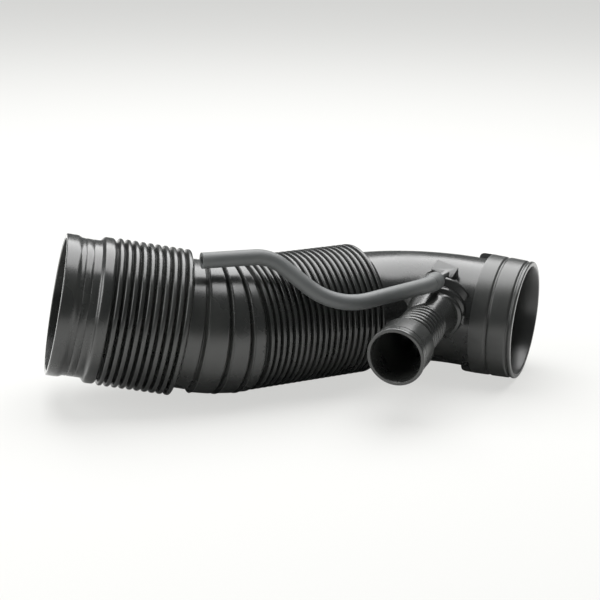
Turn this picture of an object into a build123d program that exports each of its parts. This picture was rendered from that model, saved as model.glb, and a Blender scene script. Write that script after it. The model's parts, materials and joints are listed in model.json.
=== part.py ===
from build123d import *
import os
from math import cos, radians, sin

# A black moulded air intake duct that lies on a floor. Millimetres, Z up, X along the duct.

# Headings of the three straight runs in degrees: yaw from X towards Y, pitch up from the floor
INLET_HEADING = (9.1, -10.8)
MIDDLE_HEADING = (28.7, -0.4)
OUTLET_HEADING = (-21.2, -2.4)

# Runs and turns along the centre line
INLET_RUN = 79.4
BEND_RADIUS = 85.0
MIDDLE_RUN = 81.3
ELBOW_RADIUS = 86.2
SPIGOT_RUN = 23.8

# Inlet cuff, which slides over the air meter
INLET_BORE = 39.8
INLET_DEPTH = 30.0
INLET_LIP = 42.6
INLET_NECK = 41.4
INLET_BAND = 44.0

# Bellows
FIRST_RIBS = 10
FIRST_PITCH = 4.69
FIRST_START = 31.2
FIRST_CREST = 44.3
FIRST_ROOT = 41.5
FIRST_BORE = 39.2
SECOND_RIBS = 20
SECOND_PITCH = 4.07
SECOND_START = 1.0
SECOND_CREST = 40.7
SECOND_ROOT = 37.9
SECOND_BORE = 36.2

# Bend of wide bands between narrow grooves: middle of each band, its width and its radius
BEND_SMALL = 39.5
BEND_LARGE = 41.2
BEND_BORE = 37.0
BEND_BANDS = ((1.4, 4.6, BEND_SMALL), (11.0, 9.0, BEND_LARGE), (20.8, 6.0, BEND_LARGE), (29.1, 7.4, BEND_LARGE))
GROOVES = (5.1, 16.6, 24.6)
GROOVE_WIDTH = 4.4
GROOVE_RADIUS = 38.8
BAND_SLOPE = 0.7
BAND_FOOT = 38.2

# Smooth elbow with a shallow pressed panel on its upper front
ELBOW_OUTER = 34.8
ELBOW_BORE = 32.6
PANEL_DEPTH = 1.1
PANEL_TURN = (4.0, 28.5)
PANEL_SPAN = (108.5, 147.0)

# Outlet cuff with an oblique end face on its far side
CUFF_START = 11.8
CUFF_LENGTH = 26.4
CUFF_SEAT = SPIGOT_RUN - CUFF_START
CUFF_OUTER = 38.1
CUFF_RIM = 37.2
CUFF_BORE = 34.0
CUFF_GROOVES = (10.5, 23.4)
GROOVE_DEPTH = 0.9
CUFF_TAIL = 46.0
FLANGE_YAW = 28.0

# Branch from the front of the elbow, measured from the inlet's centre
BRANCH_ROOT = Vector(230.1, 39.8, -12.4)
BRANCH_HEADING = (-111.3, -3.8)
BRANCH_LENGTH = 82.3
BRANCH_LIP = 17.5
BRANCH_SLEEVE = 16.9
BRANCH_SLEEVE_LENGTH = 21.7
BRANCH_BORE = 14.9
BRANCH_RIBS = 6
BRANCH_PITCH = 4.2
BRANCH_RIB_START = 28.0
BRANCH_CREST = 13.8
BRANCH_NECK = 12.6
BRANCH_NECK_BORE = 10.6

# Stepped rings at the root of the branch, which lean away from it
RINGS_HEADING = (-94.0, -8.0)

# Nipple: a boss on the elbow and a barrel for the hose
BOSS_TURN = 41.0
BOSS_SIDE = 128.5
BOSS_LENGTH = 13.5
BOSS_WIDTH = 9.0
BOSS_TOP = 40.6
BOSS_SPIN = -20.0
BARREL_SEAT = (2.0, -1.0, 38.0)
BARREL_RADIUS = 2.6
BARREL_BORE = 1.6
BARREL_GRIP = 6.0
BARREL_RELIEF = 2.9

# Breather hose: gap to the boss, corners and end of its route, and the radius at each corner
HOSE_RADIUS = 4.8
HOSE_SWELL = 5.5
HOSE_SWELL_LENGTH = 9.0
HOSE_GAP = 19.0
HOSE_CORNERS = (Vector(222.5, 18.4, 9.9), Vector(166.5, 2.6, -1.2), Vector(126.7, 8.0, 29.2))
HOSE_END = Vector(87.2, -6.5, 29.8)
HOSE_TURNS = (13.0, 43.0, 24.0)


def heading(yaw, pitch):
    """Unit vector with this yaw and pitch."""
    level = cos(radians(pitch))
    return Vector(level * cos(radians(yaw)), level * sin(radians(yaw)), sin(radians(pitch)))


def station(origin, direction):
    """Plane across a run: Z along it, X level to its left, Y up."""
    level = Vector(0, 0, 1).cross(direction).normalized()
    return Plane(origin=origin, x_dir=level, z_dir=direction)


def turned(outline, plane):
    """Solid turned about a run from (radius, distance) points."""
    half = Plane.XZ * make_face(Polyline(*outline, close=True))
    return plane.location * revolve(half, Axis.Z, 360)


def corrugation(start, pitch, count, crest, root):
    """Outline points of a row of ribs, from the first root to the last."""
    points = []
    for rib in range(count):
        foot = start + rib * pitch
        points.append((root, foot))
        points.append((crest, foot + pitch / 2))
    points.append((root, start + count * pitch))
    return points


class Turn:
    """An arc of the centre line from one heading into the next."""

    def __init__(self, start, before, after, radius):
        normal = before.cross(after).normalized()
        centre = start + normal.cross(before) * radius
        self.plane = station(start, before)
        self.radius = radius
        self.axis = Axis(centre, normal)
        self.angle = before.get_angle(after)
        self.end = centre + (start - centre).rotate(Axis((0, 0, 0), normal), self.angle)

    def plane_at(self, distance):
        """Plane across the turn at a distance along its arc."""
        share = distance / (radians(self.angle) * self.radius)
        spin = Axis((0, 0, 0), self.axis.direction)
        swing = share * self.angle
        origin = self.axis.position + (self.plane.origin - self.axis.position).rotate(spin, swing)
        return station(origin, self.plane.z_dir.rotate(spin, swing))

    def swept(self, sketch, first, last):
        """Sketch of the cross-section swept between two angles of the turn."""
        placed = (self.plane * sketch).rotate(self.axis, first)
        return revolve(placed, self.axis, last - first)

    def tube(self, radius, first=0.0, last=1.0):
        """Round slice of the turn between two shares of its angle."""
        return self.swept(Circle(radius), first * self.angle, last * self.angle)


inlet = heading(*INLET_HEADING)
middle = heading(*MIDDLE_HEADING)
outlet = heading(*OUTLET_HEADING)
branch = heading(*BRANCH_HEADING)

inlet_start = Vector(0, 0, 0)
bend = Turn(inlet_start + inlet * INLET_RUN, inlet, middle, BEND_RADIUS)
elbow = Turn(bend.end + middle * MIDDLE_RUN, middle, outlet, ELBOW_RADIUS)

inlet_plane = station(inlet_start, inlet)
middle_plane = station(bend.end, middle)
outlet_plane = station(elbow.end, outlet)
branch_plane = station(BRANCH_ROOT, branch)
rings_plane = station(BRANCH_ROOT, heading(*RINGS_HEADING))


def inlet_outer():
    """Lip, neck, raised band and first bellows."""
    outline = [(0, 0), (INLET_LIP - 0.9, 0), (INLET_LIP, 1.0), (INLET_LIP, 7.6), (INLET_NECK, 9.8)]
    outline += [(INLET_NECK, 21.4), (INLET_BAND, 23.2), (INLET_BAND, 29.6)]
    outline += corrugation(FIRST_START, FIRST_PITCH, FIRST_RIBS, FIRST_CREST, FIRST_ROOT)
    outline += [(BAND_FOOT, INLET_RUN - 0.8), (BAND_FOOT, INLET_RUN), (0, INLET_RUN)]
    return turned(outline, inlet_plane)


def inlet_bore():
    """Bore for the air meter up to its stop, then the first bellows' bore down to the bend's."""
    taper = 2.6
    outline = [(0, 0), (INLET_BORE, 0), (INLET_BORE, INLET_DEPTH), (FIRST_BORE, INLET_DEPTH)]
    outline += [(FIRST_BORE, INLET_RUN - taper), (BEND_BORE, INLET_RUN), (0, INLET_RUN)]
    return turned(outline, inlet_plane)


def bend_outer():
    """Wide bands with narrow grooves between them."""
    shape = None
    for place, width, radius in BEND_BANDS:
        half = width / 2
        outline = [(0, -half - BAND_SLOPE), (BAND_FOOT, -half - BAND_SLOPE), (radius, -half)]
        outline += [(radius, half), (BAND_FOOT, half + BAND_SLOPE), (0, half + BAND_SLOPE)]
        band = turned(outline, bend.plane_at(place))
        shape = band if shape is None else shape + band
    half = GROOVE_WIDTH / 2
    for place in GROOVES:
        outline = [(0, -half), (GROOVE_RADIUS, -half), (GROOVE_RADIUS, half), (0, half)]
        shape += turned(outline, bend.plane_at(place))
    return shape


def middle_outer():
    """Second bellows and the shoulder down to the elbow."""
    last = SECOND_START + SECOND_RIBS * SECOND_PITCH
    outline = [(0, -1.0), (SECOND_ROOT, -1.0)]
    outline += corrugation(SECOND_START, SECOND_PITCH, SECOND_RIBS, SECOND_CREST, SECOND_ROOT)
    outline[-1] = (ELBOW_OUTER - 1.0, last + 0.6)
    outline.append((0, last + 0.6))
    return turned(outline, middle_plane)


def middle_bore():
    """Bore of the second bellows, with a taper at each end."""
    taper = 5.0
    outline = [(0, 0), (BEND_BORE, 0), (SECOND_BORE, 2.0), (SECOND_BORE, MIDDLE_RUN - taper)]
    outline += [(ELBOW_BORE, MIDDLE_RUN), (0, MIDDLE_RUN)]
    return turned(outline, middle_plane)


def elbow_panel():
    """Cutter of the shallow panel pressed into the elbow."""
    low, high = PANEL_SPAN
    sector = make_face(
        [
            CenterArc((0, 0), ELBOW_OUTER - PANEL_DEPTH, low, high - low),
            Line(
                PolarLine((0, 0), ELBOW_OUTER - PANEL_DEPTH, high) @ 1,
                PolarLine((0, 0), ELBOW_OUTER + PANEL_DEPTH, high) @ 1,
            ),
            CenterArc((0, 0), ELBOW_OUTER + PANEL_DEPTH, low, high - low),
            Line(
                PolarLine((0, 0), ELBOW_OUTER - PANEL_DEPTH, low) @ 1,
                PolarLine((0, 0), ELBOW_OUTER + PANEL_DEPTH, low) @ 1,
            ),
        ]
    )
    return elbow.swept(sector, *PANEL_TURN)


def rings_outer():
    """Three stepped rings where the branch leaves the elbow."""
    outline = [(0, -12.0), (20.5, -12.0), (20.5, -2.4), (22.7, -1.2), (22.3, 1.0), (17.6, 2.6)]
    outline += [(18.2, 4.0), (17.7, 6.4), (15.0, 7.4), (15.5, 8.4), (15.2, 10.6), (12.0, 12.0), (0, 12.0)]
    return turned(outline, rings_plane)


def rings_bore():
    """Bore of the stepped rings, from the elbow's hollow outwards."""
    outline = [(0, -25.0), (20.0, -25.0), (20.0, -1.5), (13.0, 6.0), (13.0, 9.5), (0, 9.5)]
    return turned(outline, rings_plane)


def branch_outer():
    """Plain root, taper, ribbed neck, smooth sleeve and lip."""
    tip = BRANCH_LENGTH
    sleeve = tip - BRANCH_SLEEVE_LENGTH
    outline = [(0, -8.0), (15.6, -8.0), (15.6, 14.0), (13.4, 26.0)]
    outline += corrugation(BRANCH_RIB_START, BRANCH_PITCH, BRANCH_RIBS, BRANCH_CREST, BRANCH_NECK)
    outline += [(BRANCH_NECK, sleeve - 2.6), (BRANCH_SLEEVE, sleeve), (BRANCH_SLEEVE, tip - 3.6)]
    outline += [(BRANCH_SLEEVE - 0.7, tip - 3.0), (BRANCH_LIP, tip - 2.2), (BRANCH_LIP, tip), (0, tip)]
    return turned(outline, branch_plane)


def branch_bore():
    """Bore of the branch, from the elbow's hollow to the mouth."""
    tip = BRANCH_LENGTH
    sleeve = tip - BRANCH_SLEEVE_LENGTH
    outline = [(0, -12.0), (13.3, -12.0), (13.3, 14.0)]
    outline += [(BRANCH_NECK_BORE, 26.0), (BRANCH_NECK_BORE, sleeve), (BRANCH_BORE, sleeve + 3.0)]
    outline += [(BRANCH_BORE, tip - 0.5), (BRANCH_BORE + 0.5, tip), (0, tip)]
    return turned(outline, branch_plane)


def spigot():
    """Plain end of the duct under the outlet cuff."""
    return turned([(0, 0), (ELBOW_OUTER, 0), (ELBOW_OUTER, SPIGOT_RUN), (0, SPIGOT_RUN)], outlet_plane)


def spigot_bore():
    """Bore of the plain end."""
    return turned([(0, 0), (ELBOW_BORE, 0), (ELBOW_BORE, SPIGOT_RUN), (0, SPIGOT_RUN)], outlet_plane)


def barrel_notch():
    """Cutter that lets the barrel pass over the first ring of the branch."""
    outline = [(0, 1.0), (BARREL_RELIEF, 1.0), (BARREL_RELIEF, HOSE_GAP), (0, HOSE_GAP)]
    return turned(outline, barrel_place)


def make_duct():
    """The whole moulded duct as one hollow solid."""
    outer = inlet_outer() + bend_outer() + middle_outer() + elbow.tube(ELBOW_OUTER) + spigot()
    outer -= elbow_panel()
    outer += rings_outer() + branch_outer()
    hollow = inlet_bore() + bend.tube(BEND_BORE) + middle_bore() + elbow.tube(ELBOW_BORE) + spigot_bore()
    return outer - hollow - rings_bore() - branch_bore() - make_cuff() - barrel_notch()


def make_cuff():
    """Outlet sleeve with its grooves, seat and oblique far end."""
    slope = (CUFF_OUTER - CUFF_RIM) / CUFF_LENGTH
    outline = [(ELBOW_OUTER, 0), (CUFF_OUTER, 0)]
    for place in CUFF_GROOVES:
        outer = CUFF_OUTER - slope * place
        outline += [(outer, place - 1.0), (outer - GROOVE_DEPTH, place), (outer, place + 1.0)]
    outline += [(CUFF_RIM, CUFF_LENGTH - 0.5), (CUFF_RIM - 0.5, CUFF_LENGTH), (CUFF_BORE, CUFF_LENGTH)]
    outline += [(CUFF_BORE, CUFF_SEAT), (ELBOW_OUTER, CUFF_SEAT)]
    plane = station(elbow.end + outlet * CUFF_START, outlet)
    sleeve = turned(outline, plane)
    tail = plane.location * (Pos(0, 0, -CUFF_TAIL / 2) * Cylinder(CUFF_OUTER, CUFF_TAIL))
    face = Plane(origin=plane.origin, z_dir=heading(FLANGE_YAW, 0))
    tail = split(tail, bisect_by=face, keep=Keep.TOP)
    tail -= elbow.tube(ELBOW_OUTER) + spigot() + middle_outer()
    return sleeve + tail


def boss_plane():
    """Plane on the elbow's surface at the nipple: Z outwards, X along the duct."""
    side = heading(0, 0) * cos(radians(BOSS_SIDE)) + heading(90, 0) * sin(radians(BOSS_SIDE))
    across = elbow.plane.x_dir * side.X + elbow.plane.y_dir * side.Y
    spin = Axis((0, 0, 0), elbow.axis.direction)
    centre = elbow.axis.position + (elbow.plane.origin - elbow.axis.position).rotate(spin, BOSS_TURN)
    outwards = across.rotate(spin, BOSS_TURN)
    along = elbow.plane.z_dir.rotate(spin, BOSS_TURN)
    return Plane(origin=centre, x_dir=along, z_dir=outwards)


def make_nipple(duct, place):
    """Boss that sits on the elbow, with the barrel that the hose is pushed on."""
    foot = ELBOW_OUTER - 1.0
    block = Pos(0, 0, (foot + BOSS_TOP) / 2) * Box(BOSS_LENGTH, BOSS_WIDTH, BOSS_TOP - foot)
    block = boss_plane().location * Rot(0, 0, BOSS_SPIN) * chamfer(block.edges().filter_by(Axis.Z), 1.4)
    length = HOSE_GAP + BARREL_GRIP
    barrel = turned([(0, 0), (BARREL_RADIUS, 0), (BARREL_RADIUS, length), (0, length)], place)
    bore = turned([(0, 4.0), (BARREL_BORE, 4.0), (BARREL_BORE, length), (0, length)], place)
    return block + barrel - bore - duct


def make_hose(place):
    """Formed hose from the barrel to its plain free end."""
    start = place.origin + place.z_dir * HOSE_GAP
    route = FilletPolyline(start, *HOSE_CORNERS, HOSE_END, radius=list(HOSE_TURNS))
    mouth = Plane(origin=start, x_dir=place.x_dir, z_dir=place.z_dir)
    ring = Circle(HOSE_RADIUS) - Circle(BARREL_RADIUS)
    tube = sweep(mouth * ring, path=route)
    swell = [(BARREL_RADIUS, 0), (HOSE_SWELL, 0), (HOSE_SWELL, HOSE_SWELL_LENGTH - 2.0)]
    swell += [(HOSE_RADIUS, HOSE_SWELL_LENGTH), (BARREL_RADIUS, HOSE_SWELL_LENGTH)]
    return tube + turned(swell, mouth), route


seat = boss_plane().from_local_coords(Vector(*BARREL_SEAT))
barrel_place = Plane(origin=seat, z_dir=(HOSE_CORNERS[0] - seat).normalized())
duct = make_duct()
hose, hose_route = make_hose(barrel_place)
nodes = {
    "intake_duct": duct,
    "outlet_cuff": make_cuff(),
    "hose_nipple": make_nipple(duct, barrel_place),
    "formed_hose": hose,
}

# The floor is the lowest point and the origin is the middle of the outline's box
box = Compound(children=[Compound(list(shape.solids())) for shape in nodes.values()]).bounding_box()
shift = Pos(-(box.min.X + box.max.X) / 2, -(box.min.Y + box.max.Y) / 2, -box.min.Z)

os.makedirs("parts", exist_ok=True)
for name, shape in nodes.items():
    placed = shift * shape
    export_step(placed, f"parts/{name}.step")
    print(name, "solids", len(placed.solids()), "volume", round(placed.volume), "mm3")
print("inlet centre", shift.position, "hose length", round(hose_route.length, 1), "mm")
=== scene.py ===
import json
import logging
import math
from dataclasses import dataclass
from enum import Enum

import bpy
from mathutils import Matrix, Quaternion, Vector


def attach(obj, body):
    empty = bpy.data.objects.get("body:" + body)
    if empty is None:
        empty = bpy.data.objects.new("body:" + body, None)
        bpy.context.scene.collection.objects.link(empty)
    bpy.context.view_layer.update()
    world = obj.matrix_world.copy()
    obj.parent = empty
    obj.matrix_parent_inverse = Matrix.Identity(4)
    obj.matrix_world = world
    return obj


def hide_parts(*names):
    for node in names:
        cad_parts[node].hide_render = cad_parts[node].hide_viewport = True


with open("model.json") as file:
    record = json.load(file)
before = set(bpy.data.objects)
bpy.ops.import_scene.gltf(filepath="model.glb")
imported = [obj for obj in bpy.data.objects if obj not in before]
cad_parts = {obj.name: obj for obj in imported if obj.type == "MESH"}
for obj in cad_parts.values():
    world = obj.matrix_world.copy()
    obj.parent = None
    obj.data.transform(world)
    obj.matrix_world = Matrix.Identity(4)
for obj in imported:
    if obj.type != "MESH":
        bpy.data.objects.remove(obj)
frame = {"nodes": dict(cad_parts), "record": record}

# A black moulded air intake duct that lies on a pale floor. Sizes are in millimetres, angles in degrees.

log = logging.getLogger("intake")
MM = 0.001
# Faces around the cuff, the branch and the small barrel.
CUFF_STEPS = 128
BRANCH_STEPS = 96
BARREL_STEPS = 32
Outline = list[tuple[float, float]]
Corner = tuple[float, float, float]


class Join(Enum):
    """How a tool shape changes a piece."""

    ADD = "UNION"
    CUT = "DIFFERENCE"


def linear(code: str) -> tuple[float, float, float, float]:
    """Turn an sRGB hex colour into a linear one.

    Args:
        code: The colour as "#rrggbb".

    Returns:
        Red, green, blue and full alpha.
    """
    shares = [int(code[place : place + 2], 16) / 255 for place in (1, 3, 5)]
    lit = [share / 12.92 if share <= 0.04045 else ((share + 0.055) / 1.055) ** 2.4 for share in shares]
    return (*lit, 1.0)


def heading(yaw: float, pitch: float) -> Vector:
    """Give the unit vector with a yaw from X towards Y and a pitch up from the floor."""
    level = math.cos(math.radians(pitch))
    return Vector(
        (
            level * math.cos(math.radians(yaw)),
            level * math.sin(math.radians(yaw)),
            math.sin(math.radians(pitch)),
        )
    )


def station(origin: Vector, direction: Vector) -> Matrix:
    """Place a section across a run.

    Args:
        origin: The section's centre, in metres.
        direction: The run's heading.

    Returns:
        A frame with Z along the run, X level to its left and Y up.
    """
    left = Vector((0, 0, 1)).cross(direction).normalized()
    up = direction.cross(left)
    turn = Matrix((left, up, direction)).transposed().to_4x4()
    return Matrix.Translation(origin) @ turn


def clear_selection() -> None:
    """Deselect every object, the solids of the frame too."""
    bpy.ops.object.select_all(action="DESELECT")


def pick(piece: bpy.types.Object) -> None:
    """Make a piece the only selected one and the active one."""
    clear_selection()
    piece.select_set(True)
    bpy.context.view_layer.objects.active = piece


def edit(piece: bpy.types.Object) -> None:
    """Open a piece in edit mode with all of its mesh selected."""
    pick(piece)
    bpy.ops.object.mode_set(mode="EDIT")
    bpy.ops.mesh.select_all(action="SELECT")


def leave_edit() -> None:
    """Go back to object mode."""
    bpy.ops.object.mode_set(mode="OBJECT")


def settle(piece: bpy.types.Object, place: Matrix) -> None:
    """Move a piece to a place and leave its object at the origin."""
    pick(piece)
    piece.matrix_world = place
    bpy.ops.object.transform_apply(location=True, rotation=True, scale=True)


def softened(corners: list[Corner], steps: int = 4) -> Outline:
    """Round the corners of an outline.

    Args:
        corners: Distance, radius and how far the rounding reaches from each corner, in millimetres.
        steps: Edges along each rounding.

    Returns:
        The outline's points as (distance, radius).
    """
    points: Outline = [(corners[0][0], corners[0][1])]
    for before, corner, after in zip(corners, corners[1:], corners[2:]):
        here = Vector(corner[:2])
        back, on = Vector(before[:2]) - here, Vector(after[:2]) - here
        reach = corner[2]
        if reach == 0:
            points.append((here.x, here.y))
            continue
        first = here + back * min(reach / back.length, 0.48)
        last = here + on * min(reach / on.length, 0.48)
        for step in range(steps + 1):
            share = step / steps
            spot = first * (1 - share) ** 2 + here * 2 * share * (1 - share) + last * share**2
            points.append((spot.x, spot.y))
    points.append((corners[-1][0], corners[-1][1]))
    return points


def traced(name: str, spots: list[Vector]) -> bpy.types.Object:
    """Draw a chain of edges through points, and leave it selected in edit mode.

    Args:
        name: The new object's name.
        spots: The points in metres.

    Returns:
        The chain's object, at the origin.
    """
    clear_selection()
    bpy.ops.mesh.primitive_plane_add(size=MM)
    piece = bpy.context.object
    piece.name = name
    edit(piece)
    bpy.ops.mesh.merge(type="CENTER")
    bpy.ops.transform.translate(value=spots[0])
    for before, here in zip(spots, spots[1:]):
        bpy.ops.mesh.extrude_vertices_move(TRANSFORM_OT_translate={"value": here - before})
    bpy.ops.mesh.select_all(action="SELECT")
    return piece


def spun(name: str, outline: Outline, steps: int) -> bpy.types.Object:
    """Turn an outline into a closed solid about Z.

    Args:
        name: The new object's name.
        outline: Points as (distance along Z, radius) in millimetres, from the axis back to the axis.
        steps: Faces around.

    Returns:
        The solid, at the origin.
    """
    piece = traced(name, [Vector((radius, 0, distance)) * MM for distance, radius in outline])
    bpy.ops.mesh.spin(steps=steps, angle=math.tau, center=(0, 0, 0), axis=(0, 0, 1))
    bpy.ops.mesh.select_all(action="SELECT")
    bpy.ops.mesh.remove_doubles(threshold=MM / 500)
    bpy.ops.mesh.normals_make_consistent(inside=False)
    leave_edit()
    return piece


def combine(piece: bpy.types.Object, tool: bpy.types.Object, how: Join, keep_tool: bool = False) -> None:
    """Add a tool shape to a piece, or cut it out.

    Args:
        piece: The piece that changes.
        tool: The other closed shape.
        how: Whether the tool is added or cut out.
        keep_tool: Whether the tool is used again.
    """
    pick(piece)
    bpy.ops.object.modifier_add(type="BOOLEAN")
    modifier = piece.modifiers[-1]
    modifier.operation = how.value
    modifier.solver = "MANIFOLD"
    modifier.object = tool
    bpy.ops.object.modifier_apply(modifier=modifier.name)
    if not keep_tool:
        bpy.data.objects.remove(tool)


def twin(piece: bpy.types.Object) -> bpy.types.Object:
    """Copy a piece with a mesh of its own."""
    other = piece.copy()
    other.data = piece.data.copy()
    bpy.context.scene.collection.objects.link(other)
    return other


def smooth(piece: bpy.types.Object, limit: float = 42.0) -> None:
    """Shade a piece smooth, except over edges that turn by more than the limit."""
    pick(piece)
    bpy.ops.object.shade_smooth_by_angle(angle=math.radians(limit))


def ribs(start: float, pitch: float, count: int, crest: float, root: float) -> list[Corner]:
    """Lay out a row of rounded ribs with narrow grooves.

    Args:
        start: Distance of the first groove.
        pitch: Distance from groove to groove.
        count: Number of ribs.
        crest: Radius over the ribs.
        root: Radius in the grooves.

    Returns:
        The corners of the outline, from groove to groove.
    """
    peak, foot = crest + 0.1, root - 0.35
    corners: list[Corner] = []
    for rib in range(count):
        here = start + rib * pitch
        corners.append((here, foot, pitch * 0.1))
        corners.append((here + pitch * 0.26, peak, pitch * 0.2))
        corners.append((here + pitch * 0.74, peak, pitch * 0.2))
    corners.append((start + count * pitch, foot, pitch * 0.1))
    return corners


@dataclass(frozen=True)
class Moulding:
    """A moulded rubber or plastic surface, never quite even. Widths and heights are in millimetres.

    Attributes:
        name: The material's name.
        colour: Colour of the clean surface.
        bloom: Paler colour of the patches where wax has come to the surface.
        roughness: Mean roughness.
        unevenness: How far the roughness wanders.
        grain: Width of the mould's grain.
        grain_depth: Height of the grain.
        swell: Width of the slow waves that blowing leaves in the wall.
        swell_depth: Height of those waves.
        patch: Width of the bloom's patches.
    """

    name: str
    colour: str
    bloom: str
    roughness: float
    unevenness: float
    grain: float
    grain_depth: float
    swell: float
    swell_depth: float
    patch: float = 38.0

    def material(self) -> bpy.types.Material:
        """Build the node material."""
        made = bpy.data.materials.new(self.name)
        made.use_nodes = True
        tree = made.node_tree
        tree.nodes.clear()
        place = node(tree, "ShaderNodeTexCoord")
        patches = node(
            tree,
            "ShaderNodeTexNoise",
            {"Scale": 1 / (self.patch * MM), "Detail": 4.0, "Roughness": 0.62},
            {"Vector": (place, "Object")},
        )
        grain = node(
            tree,
            "ShaderNodeTexNoise",
            {"Scale": 1 / (self.grain * MM), "Detail": 2.0, "Roughness": 0.5},
            {"Vector": (place, "Object")},
        )
        swell = node(
            tree,
            "ShaderNodeTexNoise",
            {"Scale": 1 / (self.swell * MM), "Detail": 1.0, "Roughness": 0.4},
            {"Vector": (place, "Object")},
        )
        share = node(
            tree,
            "ShaderNodeMapRange",
            {"From Min": 0.42, "From Max": 0.78, "To Min": 0.0, "To Max": 1.0},
            {"Value": (patches, "Fac")},
        )
        tint = node(
            tree,
            "ShaderNodeMix",
            {"A": linear(self.colour), "B": linear(self.bloom)},
            {"Factor": (share, "Result")},
            data_type="RGBA",
        )
        gloss = node(
            tree,
            "ShaderNodeMapRange",
            {
                "From Min": 0.3,
                "From Max": 0.7,
                "To Min": self.roughness - self.unevenness,
                "To Max": self.roughness + self.unevenness,
            },
            {"Value": (patches, "Fac")},
        )
        waves = node(
            tree,
            "ShaderNodeBump",
            {"Strength": 1.0, "Distance": self.swell_depth * MM},
            {"Height": (swell, "Fac")},
        )
        relief = node(
            tree,
            "ShaderNodeBump",
            {"Strength": 1.0, "Distance": self.grain_depth * MM},
            {"Height": (grain, "Fac"), "Normal": (waves, "Normal")},
        )
        shader = node(
            tree,
            "ShaderNodeBsdfPrincipled",
            {"IOR": 1.5, "Metallic": 0.0},
            {"Base Color": (tint, "Result"), "Roughness": (gloss, "Result"), "Normal": (relief, "Normal")},
        )
        node(tree, "ShaderNodeOutputMaterial", {}, {"Surface": (shader, "BSDF")})
        return made


def node(
    tree: bpy.types.NodeTree,
    kind: str,
    values: dict | None = None,
    links: dict | None = None,
    **settings: str,
) -> bpy.types.Node:
    """Add a node with its settings and links.

    Args:
        tree: The material's or world's node tree.
        kind: Blender's name of the node type.
        values: Socket values by input name.
        links: For each input name, the node that feeds it and that node's output name.
        settings: Properties of the node itself.

    Returns:
        The new node.
    """
    added = tree.nodes.new(kind)
    for name, value in settings.items():
        setattr(added, name, value)
    for name, value in (values or {}).items():
        usable = [socket for socket in added.inputs if socket.name == name and socket.enabled]
        usable[0].default_value = value
    for name, (source, output) in (links or {}).items():
        into = [socket for socket in added.inputs if socket.name == name and socket.enabled]
        out = [socket for socket in source.outputs if socket.name == output and socket.enabled]
        tree.links.new(out[0], into[0])
    return added


# Near-black satin that throws soft streaks along the duct, slightly wavy where the wall was blown.
SATIN_EPDM = Moulding("satin_moulded_epdm", "#1f201f", "#292a28", 0.27, 0.05, 0.9, 0.006, 17.0, 0.08)
# A shade greyer and duller than the duct, so that the sleeve reads as a piece of its own.
MATTE_EPDM = Moulding("matte_moulded_epdm", "#252625", "#2f302e", 0.34, 0.05, 0.8, 0.010, 15.0, 0.05)
# Harder and more even than rubber, which gives the small boss its flat top and plain edges.
NYLON = Moulding("satin_moulded_nylon", "#272827", "#303130", 0.32, 0.05, 0.7, 0.010, 9.0, 0.03)
# Dusty mid grey without highlights, which sets the hose off from the shiny duct behind it.
HOSE_RUBBER = Moulding("matte_extruded_rubber_hose", "#484a4a", "#525453", 0.55, 0.06, 0.6, 0.016, 12.0, 0.02)


def dress(piece: bpy.types.Object, finish: Moulding) -> None:
    """Give a piece its finish in place of any it has."""
    piece.data.materials.clear()
    piece.data.materials.append(finish.material())


@dataclass
class Turn:
    """An arc of the centre line from one heading into the next.

    Attributes:
        start: Where the arc starts, in metres.
        before: Heading before it.
        after: Heading after it.
        radius: Radius of the arc, in millimetres.
    """

    start: Vector
    before: Vector
    after: Vector
    radius: float

    @property
    def angle(self) -> float:
        """Angle of the arc in radians."""
        return self.before.angle(self.after)

    @property
    def normal(self) -> Vector:
        """Axis that the arc turns about."""
        return self.before.cross(self.after).normalized()

    @property
    def centre(self) -> Vector:
        """Centre of the arc, in metres."""
        return self.start + self.normal.cross(self.before) * self.radius * MM

    @property
    def length(self) -> float:
        """Length of the arc in millimetres."""
        return self.angle * self.radius

    def at(self, swing: float) -> Matrix:
        """Give the section after the arc's start section has swung by an angle in radians."""
        spin = Matrix.Rotation(swing, 4, self.normal)
        about = Matrix.Translation(self.centre) @ spin @ Matrix.Translation(-self.centre)
        return about @ station(self.start, self.before)

    @property
    def end(self) -> Vector:
        """Where the arc ends, in metres."""
        return self.at(self.angle).translation


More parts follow.
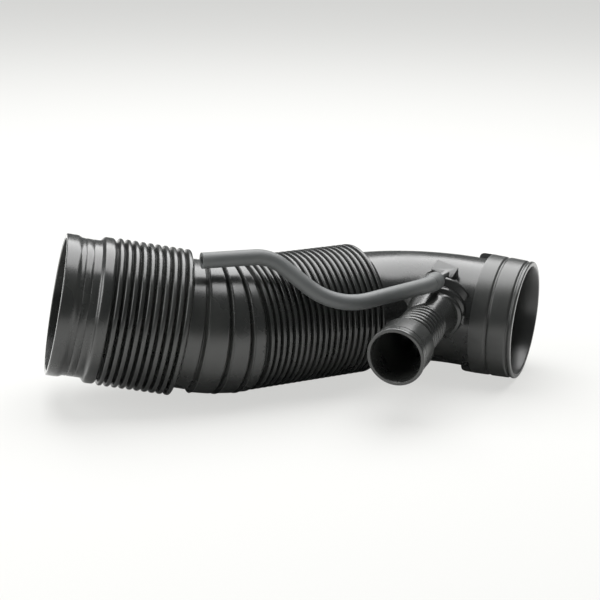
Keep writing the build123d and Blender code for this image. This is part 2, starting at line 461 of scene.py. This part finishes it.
@dataclass
class CentreLine:
    """The line through the middle of the duct: a run, a bend, a run, an elbow and a short run.

    Attributes:
        mouth: Middle of the inlet's face, in metres.
        headings: Yaw and pitch of the three straight runs.
        runs: Lengths of the three runs.
        radii: Radii of the bend and the elbow.
    """

    mouth: Vector
    headings: tuple = ((9.1, -10.8), (28.7, -0.4), (-21.2, -2.4))
    runs: tuple = (79.4, 81.3, 23.8)
    radii: tuple = (85.0, 86.2)

    def __post_init__(self) -> None:
        """Work out the two arcs and the end."""
        self.ways = [heading(*pair) for pair in self.headings]
        bend_start = self.mouth + self.ways[0] * self.runs[0] * MM
        self.bend = Turn(bend_start, self.ways[0], self.ways[1], self.radii[0])
        elbow_start = self.bend.end + self.ways[1] * self.runs[1] * MM
        self.elbow = Turn(elbow_start, self.ways[1], self.ways[2], self.radii[1])
        self.end = self.elbow.end + self.ways[2] * self.runs[2] * MM

    @property
    def bend_start(self) -> float:
        """Distance along the line to the bend."""
        return self.runs[0]

    @property
    def bend_end(self) -> float:
        """Distance along the line to the second run."""
        return self.bend_start + self.bend.length

    @property
    def elbow_start(self) -> float:
        """Distance along the line to the elbow."""
        return self.bend_end + self.runs[1]

    @property
    def elbow_end(self) -> float:
        """Distance along the line to the last run."""
        return self.elbow_start + self.elbow.length

    @property
    def length(self) -> float:
        """Length of the whole line."""
        return self.elbow_end + self.runs[2]

    def curve(self) -> bpy.types.Object:
        """Draw the line as a curve that pieces are bent along."""
        clear_selection()
        bpy.ops.curve.primitive_bezier_curve_add()
        line = bpy.context.object
        line.name = "centre_line"
        spline = line.data.splines[0]
        line.data.dimensions = "3D"
        line.data.resolution_u = 64
        knots = [self.mouth, self.bend.start, self.bend.end, self.elbow.start, self.elbow.end, self.end]
        ways = [self.ways[0], self.ways[0], self.ways[1], self.ways[1], self.ways[2], self.ways[2]]
        handles = [self.runs[0] / 3]
        handles.append(4 / 3 * math.tan(self.bend.angle / 4) * self.bend.radius)
        handles.append(self.runs[1] / 3)
        handles.append(4 / 3 * math.tan(self.elbow.angle / 4) * self.elbow.radius)
        handles.append(self.runs[2] / 3)
        spline.bezier_points.add(len(knots) - len(spline.bezier_points))
        before = [handles[0], *handles]
        after = [*handles, handles[-1]]
        for point, knot, way, back, on in zip(spline.bezier_points, knots, ways, before, after):
            point.handle_left_type = point.handle_right_type = "FREE"
            point.co = knot
            point.handle_left = knot - way * back * MM
            point.handle_right = knot + way * on * MM
            point.radius = 1.0
        return line


@dataclass
class IntakeDuct:
    """The blow-moulded duct: inlet, two bellows, banded bend, elbow and ribbed branch in one piece."""

    line: CentreLine
    facets: int = 120
    inlet_bore: float = 39.8
    inlet_depth: float = 30.0
    lip: float = 42.6
    neck: float = 41.4
    neck_lines: tuple = (12.0, 16.4)
    band: float = 44.0
    first_ribs: tuple = (30.0, 4.54, 10, 44.3, 41.5)
    first_bore: float = 39.2
    bend_small: float = 39.5
    bend_large: float = 41.2
    bend_bore: float = 37.0
    bend_groove: float = 38.6
    bend_bands: tuple = ((4.2, 5.3, 14.6), (15.5, 16.7, 24.2), (25.0, 26.1, 31.4))
    second_ribs: tuple = (1.0, 4.07, 20, 40.7, 37.9)
    second_bore: float = 36.2
    elbow_outer: float = 34.8
    elbow_bore: float = 32.6
    panel_depth: float = 1.1
    panel_turn: tuple = (4.0, 28.5)
    panel_span: tuple = (108.5, 147.0)
    panel_slope: float = 4.0
    panel_steps: int = 16
    branch_offset: tuple = (230.1, 39.8, -12.4)
    branch_heading: tuple = (-111.3, -3.8)
    rings_heading: tuple = (-94.0, -8.0)
    branch_length: float = 82.3
    sleeve_length: float = 21.7
    branch_lip: float = 17.5
    sleeve: float = 16.9
    branch_bore: float = 14.9
    branch_ribs: tuple = (28.0, 4.2, 6, 13.8, 12.6)
    neck_bore: float = 10.6

    def inlet_corners(self) -> list[Corner]:
        """Lip, neck with two fine lines, raised band and first bellows."""
        corners: list[Corner] = [(0, 0, 0), (0, self.inlet_bore + 0.6, 0)]
        corners += [(0.0, self.lip - 0.5, 0.7), (0.6, self.lip, 0.5)]
        corners += [(7.4, self.lip, 1.2), (9.6, self.neck, 1.2)]
        for place in self.neck_lines:
            corners.append((place - 0.4, self.neck, 0))
            corners.append((place, self.neck - 0.35, 0.15))
            corners.append((place + 0.4, self.neck, 0))
        corners += [(20.9, self.neck, 1.2), (22.8, self.band, 1.3), (28.4, self.band, 1.3)]
        return corners + ribs(*self.first_ribs)

    def bend_corners(self) -> list[Corner]:
        """Wide bands, each with a fine raised bead on the far wall of the groove before it."""
        start = self.line.bend_start
        large, small, groove = self.bend_large, self.bend_small, self.bend_groove
        corners: list[Corner] = [(start - 3.4, small - 0.2, 0.3), (start + 3.4, small, 0.7)]
        for foot, head, last in self.bend_bands:
            corners.append((start + foot, groove, 0.4))
            corners.append((start + head, large + 0.45, 0.35))
            corners.append((start + head + 0.8, large - 0.25, 0.35))
            corners.append((start + last, large, 0.9))
        corners.append((start + 32.3, groove, 0.5))
        return corners

    def outer(self) -> bpy.types.Object:
        """Outside of the main run as a closed solid, bent along the centre line."""
        line = self.line
        first, pitch, count, crest, root = self.second_ribs
        corners = self.inlet_corners() + self.bend_corners()
        corners += ribs(line.bend_end + first, pitch, count, crest, root)[:-1]
        last = line.bend_end + first + count * pitch
        corners.append((last, self.elbow_outer, 1.2))
        outline = softened(corners)
        for step in range(25):
            outline.append((last + 1.2 + (line.length - last - 1.2) * step / 24, self.elbow_outer))
        outline.append((line.length, 0))
        return self.bent(spun("main_run", outline, self.facets))

    def hollow(self) -> bpy.types.Object:
        """Inside of the main run as a closed solid, bent along the centre line."""
        line = self.line
        outline: Outline = [(-3.0, 0), (-3.0, self.inlet_bore + 1.2), (-0.3, self.inlet_bore + 1.2)]
        outline += [(0.5, self.inlet_bore), (self.inlet_depth, self.inlet_bore)]
        outline += [(self.inlet_depth, self.first_bore)]
        outline += [(line.bend_start - 2.6, self.first_bore), (line.bend_start, self.bend_bore)]
        outline += [(line.bend_start + line.bend.length * step / 8, self.bend_bore) for step in range(1, 9)]
        outline += [(line.bend_end + 2.0, self.second_bore), (line.elbow_start - 5.0, self.second_bore)]
        outline += [(line.elbow_start + line.elbow.length * step / 16, self.elbow_bore) for step in range(17)]
        outline += [(line.length + 3.0, self.elbow_bore), (line.length + 3.0, 0)]
        return self.bent(spun("hollow", outline, self.facets))

    def bent(self, piece: bpy.types.Object) -> bpy.types.Object:
        """Bend a straight piece along the centre line."""
        line = self.line.curve()
        pick(piece)
        bpy.ops.object.modifier_add(type="CURVE")
        modifier = piece.modifiers[-1]
        modifier.object = line
        modifier.deform_axis = "POS_Z"
        bpy.ops.object.modifier_apply(modifier=modifier.name)
        bpy.data.objects.remove(line)
        return piece

    def root(self) -> Vector:
        """Where the branch leaves the elbow's middle, in metres."""
        return self.line.mouth + Vector(self.branch_offset) * MM

    def rings(self) -> bpy.types.Object:
        """Stepped rings at the root of the branch."""
        corners: list[Corner] = [(-12.0, 0, 0), (-12.0, 20.5, 0), (-2.4, 20.5, 0.5), (-1.2, 22.7, 0.8)]
        corners += [(1.0, 22.3, 0.9), (2.6, 17.6, 0.6), (4.0, 18.2, 0.9), (6.4, 17.7, 0.9), (7.4, 15.0, 0.5)]
        corners += [(8.4, 15.5, 0.8), (10.6, 15.2, 0.8), (12.0, 12.0, 0), (12.0, 0, 0)]
        piece = spun("rings", softened(corners), BRANCH_STEPS)
        settle(piece, station(self.root(), heading(*self.rings_heading)))
        return piece

    def rings_hollow(self) -> bpy.types.Object:
        """Inside of the stepped rings."""
        outline = [(-25.0, 0), (-25.0, 20.0), (-1.5, 20.0), (6.0, 13.0), (9.5, 13.0), (9.5, 0)]
        piece = spun("rings_hollow", outline, BRANCH_STEPS)
        settle(piece, station(self.root(), heading(*self.rings_heading)))
        return piece

    def branch(self) -> bpy.types.Object:
        """Outside of the branch: taper, ribbed neck, smooth sleeve with a band, and lip."""
        tip = self.branch_length
        sleeve = tip - self.sleeve_length
        first, pitch, count, crest, root = self.branch_ribs
        corners: list[Corner] = [(-8.0, 0, 0), (-8.0, 15.6, 0), (14.0, 15.6, 2.0), (26.0, 13.4, 1.0)]
        corners += ribs(first, pitch, count, crest, root)
        corners += [(sleeve - 2.6, root, 0.6), (sleeve - 0.2, self.sleeve, 1.0), (tip - 7.2, self.sleeve, 0)]
        corners += [(tip - 6.8, self.sleeve - 0.4, 0.2), (tip - 6.4, self.sleeve, 0)]
        corners += [(tip - 3.6, self.sleeve, 0), (tip - 3.1, self.sleeve - 0.5, 0.3)]
        corners += [(tip - 2.4, self.branch_lip, 0.5)]
        corners += [(tip, self.branch_lip, 0.7), (tip, self.branch_bore + 0.4, 0), (tip, 0, 0)]
        piece = spun("branch", softened(corners), BRANCH_STEPS)
        settle(piece, station(self.root(), heading(*self.branch_heading)))
        return piece

    def branch_hollow(self) -> bpy.types.Object:
        """Inside of the branch."""
        tip = self.branch_length
        sleeve = tip - self.sleeve_length
        wide = self.branch_bore + 0.9
        outline: Outline = [(-12.0, 0), (-12.0, 13.3), (14.0, 13.3), (26.0, self.neck_bore)]
        outline += [(sleeve, self.neck_bore), (sleeve + 5.0, self.branch_bore)]
        outline += [(tip - 0.8, self.branch_bore), (tip + 0.3, wide), (tip + 3.0, wide), (tip + 3.0, 0)]
        piece = spun("branch_hollow", outline, BRANCH_STEPS)
        settle(piece, station(self.root(), heading(*self.branch_heading)))
        return piece

    def panel(self) -> bpy.types.Object:
        """Cutter of the shallow panel pressed into the elbow, with sloping walls."""
        low, high = self.panel_span
        floor, top = self.elbow_outer - self.panel_depth, self.elbow_outer + 2.0
        slope, parts = self.panel_slope, self.panel_steps
        shares = [step / parts for step in range(parts + 1)]
        section = [(floor, low + slope + (high - low - 2 * slope) * share) for share in shares]
        section += [(top, high + slope - (high - low + 2 * slope) * share) for share in shares]
        place = self.line.elbow.at(math.radians(self.panel_turn[0]))
        spots = []
        for radius, turn in section:
            across = Vector((math.cos(math.radians(turn)), math.sin(math.radians(turn)), 0))
            spots.append(place @ (across * radius * MM))
        piece = traced("panel", spots)
        bpy.ops.mesh.edge_face_add()
        first, final = (math.radians(turn) for turn in self.panel_turn)
        bpy.ops.mesh.spin(
            steps=parts, angle=final - first, center=self.line.elbow.centre, axis=self.line.elbow.normal
        )
        bpy.ops.mesh.select_all(action="SELECT")
        bpy.ops.mesh.normals_make_consistent(inside=False)
        leave_edit()
        return piece

    def build(self) -> tuple[bpy.types.Object, bpy.types.Object]:
        """Build the duct.

        Returns:
            The duct before its bores, without the rings and the branch, and the finished duct.
        """
        plain = self.outer()
        duct = twin(plain)
        duct.name = "intake_duct_fine"
        combine(duct, self.panel(), Join.CUT)
        combine(duct, self.rings(), Join.ADD)
        combine(duct, self.branch(), Join.ADD)
        combine(duct, self.hollow(), Join.CUT)
        combine(duct, self.rings_hollow(), Join.CUT)
        combine(duct, self.branch_hollow(), Join.CUT)
        return plain, duct


@dataclass
class OutletCuff:
    """The sleeve over the outlet, with two grooves, a step behind its far half and an oblique back end."""

    line: CentreLine
    start: float = 11.8
    length: float = 26.4
    outer: float = 38.1
    rim: float = 37.2
    bore: float = 34.0
    seat: float = 12.0
    inner: float = 34.8
    grooves: tuple = (10.5, 23.4)
    groove_depth: float = 0.9
    step: float = 9.5
    step_round: float = 3.5
    step_lean: float = 17.0
    step_offset: float = 1.0
    tail: float = 46.0
    flange_yaw: float = 28.0
    tail_offset: float = 16.5

    def sleeve(self) -> bpy.types.Object:
        """Sleeve with its grooves, closed at both ends."""
        slope = (self.outer - self.rim) / self.length
        corners: list[Corner] = [(0, 0, 0), (0, self.outer, 0)]
        for place in self.grooves:
            radius = self.outer - slope * place
            corners += [(place - 1.2, radius, 0.7), (place - 0.4, radius - self.groove_depth, 0.3)]
            corners += [(place + 0.4, radius - self.groove_depth, 0.3), (place + 1.2, radius, 0.7)]
        corners += [(self.length, self.rim, 1.1), (self.length, self.bore + 0.5, 0), (self.length, 0, 0)]
        return spun("outlet_cuff_fine", softened(corners), CUFF_STEPS)

    def hollow(self) -> bpy.types.Object:
        """Bore of the sleeve with its seat for the duct's end."""
        outline: Outline = [(-2.0, 0), (-2.0, self.inner), (self.seat, self.inner), (self.seat, self.bore)]
        outline += [(self.length - 0.8, self.bore), (self.length + 0.2, self.bore + 0.8)]
        outline += [(self.length + 2.0, self.bore + 0.8), (self.length + 2.0, 0)]
        return spun("cuff_hollow", outline, CUFF_STEPS)

    def halved(self, piece: bpy.types.Object, spot: Vector, away: Vector) -> bpy.types.Object:
        """Keep the part of a piece that lies past a plane, and close it."""
        edit(piece)
        bpy.ops.mesh.bisect(plane_co=spot, plane_no=away, use_fill=True, clear_inner=True, clear_outer=False)
        leave_edit()
        return piece

    def back_side(self) -> Vector:
        """Direction square to the outlet's axis that leads to the back of the duct."""
        axis = self.line.ways[2]
        away = heading(90, -self.step_lean)
        return (away - axis * away.dot(axis)).normalized()

    def step_block(self, place: Matrix) -> bpy.types.Object:
        """Step behind the far half of the sleeve: a short round-edged cylinder cut along its length."""
        corners: list[Corner] = [(-self.step, 0, 0), (-self.step, self.outer, self.step_round)]
        corners += [(1, self.outer, 0), (1, 0, 0)]
        piece = spun("cuff_step", softened(corners), CUFF_STEPS)
        settle(piece, place)
        away = self.back_side()
        return self.halved(piece, place.translation + away * self.step_offset * MM, away)

    def tail_block(self, place: Matrix) -> bpy.types.Object:
        """Oblique end at the back of the sleeve: a cylinder cut by an upright plane."""
        outline: Outline = [(-self.tail, 0), (-self.tail, self.outer), (0.1, self.outer), (0.1, 0)]
        piece = spun("cuff_tail", outline, CUFF_STEPS)
        settle(piece, place)
        self.halved(piece, place.translation, heading(self.flange_yaw, 0))
        away = self.back_side()
        return self.halved(piece, place.translation + away * self.tail_offset * MM, away)

    def build(self, plain: bpy.types.Object) -> bpy.types.Object:
        """Build the cuff.

        Args:
            plain: The outside of the duct's main run, which the cuff fits round.

        Returns:
            The finished cuff.
        """
        place = station(self.line.elbow.end + self.line.ways[2] * self.start * MM, self.line.ways[2])
        piece = self.sleeve()
        settle(piece, place)
        combine(piece, self.step_block(place), Join.ADD)
        combine(piece, self.tail_block(place), Join.ADD)
        combine(piece, plain, Join.CUT, keep_tool=True)
        hollow = self.hollow()
        settle(hollow, place)
        combine(piece, hollow, Join.CUT)
        return piece


@dataclass
class HoseNipple:
    """Boss welded on the elbow, with the barrel that the hose is pushed on."""

    line: CentreLine
    turn: float = 41.0
    side: float = 128.5
    spin: float = -20.0
    size: tuple = (15.0, 9.4)
    foot: float = 33.8
    top: float = 41.4
    seat: tuple = (2.0, -1.0, 38.0)
    hose_corner: tuple = (222.5, 18.4, 9.9)
    barrel: float = 2.6
    bore: float = 1.6
    bore_start: float = 4.0
    gap: float = 19.0
    grip: float = 6.0
    corner_round: float = 1.4
    edge_round: float = 0.5

    def boss_frame(self) -> Matrix:
        """Frame at the elbow's middle under the boss: Z outwards, X along the duct."""
        place = self.line.elbow.at(math.radians(self.turn))
        side = math.radians(self.side)
        out = (place.col[0] * math.cos(side) + place.col[1] * math.sin(side)).to_3d()
        along = place.col[2].to_3d()
        turn = Matrix((along, out.cross(along), out)).transposed().to_4x4()
        return Matrix.Translation(place.translation) @ turn

    def boss(self) -> bpy.types.Object:
        """Block with rounded corners."""
        clear_selection()
        height = self.top - self.foot
        bpy.ops.mesh.primitive_cube_add(size=MM, location=(0, 0, (self.foot + height / 2) * MM))
        piece = bpy.context.object
        piece.name = "hose_nipple_fine"
        piece.scale = (*self.size, height)
        bpy.ops.object.transform_apply(location=True, rotation=True, scale=True)
        edit(piece)
        bpy.ops.mesh.select_mode(type="EDGE")
        bpy.ops.mesh.select_all(action="DESELECT")
        leave_edit()
        for edge in piece.data.edges:
            ends = [piece.data.vertices[index].co for index in edge.vertices]
            edge.select = abs(ends[0].z - ends[1].z) > MM
        pick(piece)
        bpy.ops.object.mode_set(mode="EDIT")
        bpy.ops.mesh.bevel(offset=self.corner_round * MM, segments=4)
        leave_edit()
        pick(piece)
        bpy.ops.object.modifier_add(type="BEVEL")
        modifier = piece.modifiers[-1]
        modifier.width = self.edge_round * MM
        modifier.segments = 3
        modifier.angle_limit = math.radians(50)
        bpy.ops.object.modifier_apply(modifier=modifier.name)
        settle(piece, self.boss_frame() @ Matrix.Rotation(math.radians(self.spin), 4, "Z"))
        return piece

    def build(self, plain: bpy.types.Object) -> bpy.types.Object:
        """Build the nipple.

        Args:
            plain: The outside of the duct's main run, which the boss sits on.

        Returns:
            The finished nipple.
        """
        seat = self.boss_frame() @ (Vector(self.seat) * MM)
        corner = self.line.mouth + Vector(self.hose_corner) * MM
        place = station(seat, (corner - seat).normalized())
        length = self.gap + self.grip
        corners: list[Corner] = [(0, 0, 0), (0, self.barrel, 0), (length - 0.6, self.barrel, 0.3)]
        corners += [(length, self.barrel - 0.5, 0), (length, 0, 0)]
        barrel = spun("barrel", softened(corners), BARREL_STEPS)
        settle(barrel, place)
        outline: Outline = [(self.bore_start, 0), (self.bore_start, self.bore)]
        outline += [(length + 1, self.bore), (length + 1, 0)]
        bore = spun("barrel_bore", outline, BARREL_STEPS)
        settle(bore, place)
        piece = self.boss()
        combine(piece, barrel, Join.ADD)
        combine(piece, plain, Join.CUT, keep_tool=True)
        combine(piece, bore, Join.CUT)
        return piece


@dataclass
class Studio:
    """Pale floor, soft lamps, pale surroundings and the camera."""

    mouth: Vector
    lens: float = 97.56
    spot: tuple = (140.4, -922.9, 284.3)
    yaw: float = 0.287
    pitch: float = -16.85
    roll: float = 1.0
    floor_colour: str = "#e6e6e4"
    floor_size: float = 16.0
    glow_colour: str = "#e2e2e0"
    glow_share: float = 0.8
    room_colour: str = "#bfc2c4"
    room_strength: float = 0.3
    seen_colour: str = "#f2f2f0"
    overhead: tuple = ((0.0, 0.45, 1.15), (0.0, 0.0, 0.03), 1.5, 52.0)
    left: tuple = ((-1.15, -0.25, 0.6), (0.0, 0.0, 0.05), 0.9, 17.0)

    def camera(self) -> None:
        """Place the camera a little above the part and aim it at the middle."""
        spot = self.mouth + Vector(self.spot) * MM
        look = heading(90 - self.yaw, self.pitch)
        turn = look.to_track_quat("-Z", "Y") @ Quaternion((0, 0, 1), math.radians(self.roll))
        clear_selection()
        bpy.ops.object.camera_add(location=spot, rotation=turn.to_euler())
        camera = bpy.context.object
        camera.data.lens = self.lens
        camera.data.sensor_width = 36.0
        bpy.context.scene.camera = camera

    def floor(self) -> None:
        """Lay the pale floor, which keeps the part's shadow and looks evenly bright to the camera."""
        clear_selection()
        bpy.ops.mesh.primitive_plane_add(size=self.floor_size)
        floor = bpy.context.object
        floor.name = "floor"
        made = bpy.data.materials.new("pale_matte_paper")
        made.use_nodes = True
        tree = made.node_tree
        tree.nodes.clear()
        shader = node(
            tree, "ShaderNodeBsdfPrincipled", {"Base Color": linear(self.floor_colour), "Roughness": 0.85}
        )
        path = node(tree, "ShaderNodeLightPath")
        share = node(tree, "ShaderNodeMath", {}, {"Value": (path, "Is Camera Ray")}, operation="MULTIPLY")
        share.inputs[1].default_value = self.glow_share
        glow = node(tree, "ShaderNodeEmission", {"Color": linear(self.glow_colour), "Strength": 1.0})
        both = tree.nodes.new("ShaderNodeMixShader")
        tree.links.new(share.outputs[0], both.inputs[0])
        tree.links.new(shader.outputs[0], both.inputs[1])
        tree.links.new(glow.outputs[0], both.inputs[2])
        node(tree, "ShaderNodeOutputMaterial", {}, {"Surface": (both, "Shader")})
        floor.data.materials.append(made)

    def lamp(self, name: str, spot: tuple, target: tuple, size: float, power: float) -> None:
        """Add a soft square lamp.

        Args:
            name: The lamp's name.
            spot: Its place in metres.
            target: The point it faces.
            size: Its side in metres.
            power: Its power in watts.
        """
        clear_selection()
        turn = (Vector(target) - Vector(spot)).to_track_quat("-Z", "Y")
        bpy.ops.object.light_add(type="AREA", location=spot, rotation=turn.to_euler())
        light = bpy.context.object
        light.name = name
        light.data.shape = "SQUARE"
        light.data.size = size
        light.data.energy = power

    def surroundings(self) -> None:
        """Give the world a pale colour that the camera sees and a dimmer one that lights the object."""
        world = bpy.context.scene.world or bpy.data.worlds.new("studio")
        bpy.context.scene.world = world
        world.use_nodes = True
        tree = world.node_tree
        tree.nodes.clear()
        path = node(tree, "ShaderNodeLightPath")
        light = {"Color": linear(self.room_colour), "Strength": self.room_strength}
        room = node(tree, "ShaderNodeBackground", light)
        seen = node(tree, "ShaderNodeBackground", {"Color": linear(self.seen_colour), "Strength": 1.0})
        both = tree.nodes.new("ShaderNodeMixShader")
        tree.links.new(path.outputs["Is Camera Ray"], both.inputs[0])
        tree.links.new(room.outputs[0], both.inputs[1])
        tree.links.new(seen.outputs[0], both.inputs[2])
        node(tree, "ShaderNodeOutputWorld", {}, {"Surface": (both, "Shader")})

    def build(self) -> None:
        """Set up everything that isn't part of the object."""
        bpy.context.scene.view_settings.view_transform = "Standard"
        self.camera()
        self.floor()
        self.surroundings()
        self.lamp("overhead", *self.overhead)
        self.lamp("left", *self.left)


def inlet_mouth() -> Vector:
    """Give the middle of the inlet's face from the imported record's inlet bore."""
    bore = next(mount for mount in frame["record"]["mounts"] if mount["name"] == "inlet_bore")
    return Vector(bore["pos_m"]) + Vector(bore["axis"]) * bore["dims"]["length_mm"] / 2 * MM


def finish_piece(piece: bpy.types.Object, finish: Moulding, node_name: str) -> None:
    """Shade, dress and register a fine piece in place of its solid.

    Args:
        piece: The fine piece.
        finish: Its finish.
        node_name: The solid that it stands for.
    """
    smooth(piece)
    dress(piece, finish)
    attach(piece, "root")
    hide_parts(node_name)
    triangles = sum(len(face.vertices) - 2 for face in piece.data.polygons)
    log.info("%s: %d triangles", piece.name, triangles)


def main() -> None:
    """Build the pieces, dress them, and set up the studio."""
    logging.basicConfig(level=logging.INFO)
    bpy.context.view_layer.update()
    mouth = inlet_mouth()
    Studio(mouth).build()
    line = CentreLine(mouth)
    plain, duct = IntakeDuct(line).build()
    cuff = OutletCuff(line).build(plain)
    combine(duct, cuff, Join.CUT, keep_tool=True)
    nipple = HoseNipple(line).build(plain)
    bpy.data.objects.remove(plain)
    finish_piece(duct, SATIN_EPDM, "intake_duct")
    finish_piece(cuff, MATTE_EPDM, "outlet_cuff")
    finish_piece(nipple, NYLON, "hose_nipple")
    dress(frame["nodes"]["formed_hose"], HOSE_RUBBER)
    log.info("formed_hose: dressed")


if __name__ == "__main__":
    main()
